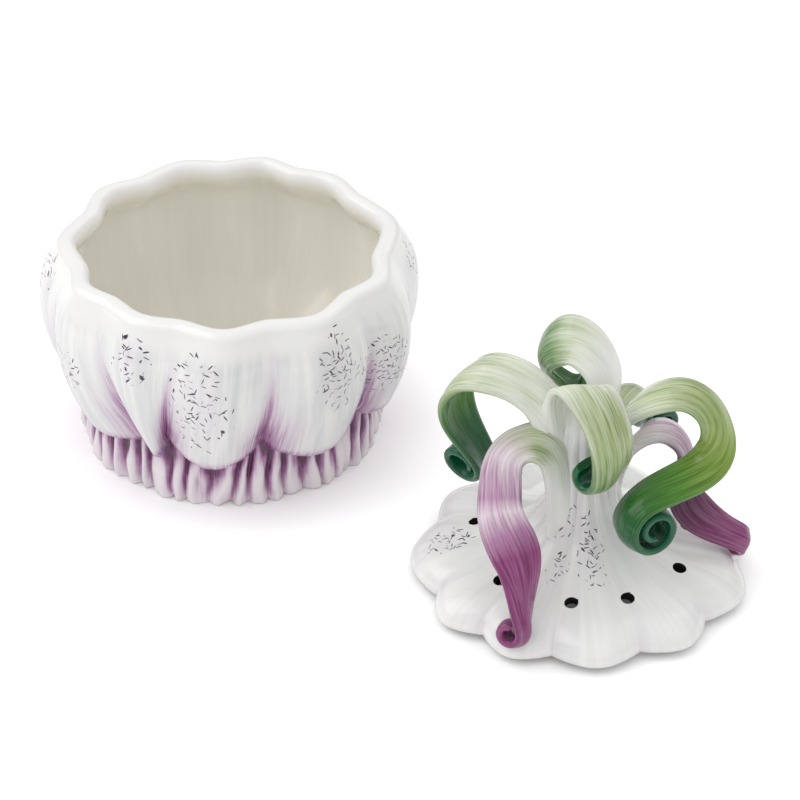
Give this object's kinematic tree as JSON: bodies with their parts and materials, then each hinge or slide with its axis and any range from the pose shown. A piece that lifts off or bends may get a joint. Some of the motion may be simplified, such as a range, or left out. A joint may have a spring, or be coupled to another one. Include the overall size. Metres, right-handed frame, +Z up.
{
  "type": "garlic keeper",
  "caption": "Glazed earthenware garlic keeper shaped like a ribbed garlic bulb, with a vented lid whose neck splits into curled leaves, lifted off and set beside the jar.",
  "frame": {"origin": "centre of the jar's foot, on the table", "axes": "+Z up; +X from the jar's axis to the axis of the lid that stands beside it; +Y behind"},
  "size_m": [0.34, 0.1638, 0.1155],
  "materials": {
    "jar_glaze": "gloss white glaze with mauve brushed into the creases",
    "frill_glaze": "gloss glaze, mauve over white on carved pleats",
    "lid_glaze": "gloss white glaze, faintly brushed",
    "leaf_green_glaze": "gloss glaze, green brushed over white",
    "leaf_purple_glaze": "gloss glaze, purple and green brushed over white"
  },
  "bodies": {
    "jar": {"jar_bulb": "jar_glaze", "jar_root_frill": "frill_glaze"},
    "lid": {"lid_dome": "lid_glaze", "lid_locating_ring": "lid_glaze", "leaf_left_high": "leaf_green_glaze", "leaf_left_low": "leaf_purple_glaze", "leaf_front": "leaf_green_glaze", "leaf_back_top": "leaf_green_glaze", "leaf_right": "leaf_green_glaze", "leaf_right_low": "leaf_purple_glaze", "leaf_back": "leaf_green_glaze"}
  },
  "joints": [
    {"name": "lid_lift", "type": "slide", "parent": "jar", "child": "lid", "axis": [0, 0, 1], "range_m": [0, 0.15]}
  ]
}
